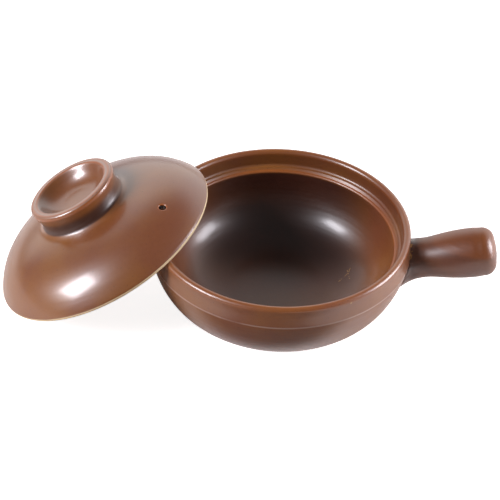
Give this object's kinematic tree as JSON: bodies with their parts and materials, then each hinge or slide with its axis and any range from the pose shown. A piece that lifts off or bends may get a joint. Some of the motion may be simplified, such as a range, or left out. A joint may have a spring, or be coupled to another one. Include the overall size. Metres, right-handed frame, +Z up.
{
  "type": "casserole pot",
  "caption": "Small glazed clay casserole pot with a stub handle, a stepped seat inside its rim, and a domed lid with a ring knob and steam hole leaning on the rim.",
  "frame": {"origin": "on the pot's axis, in the plane of its flat base", "axes": "+Z up along the pot's axis, +X towards the handle; the lid leans on the -X side of the rim"},
  "size_m": [0.3298, 0.173, 0.0904],
  "materials": {
    "pot_glaze": "glossy brown glaze over clay, bare clay base",
    "lid_glaze": "glossy brown glaze over clay, bare clay edge"
  },
  "bodies": {
    "root": {"pot": "pot_glaze", "lid": "lid_glaze"}
  },
  "joints": []
}
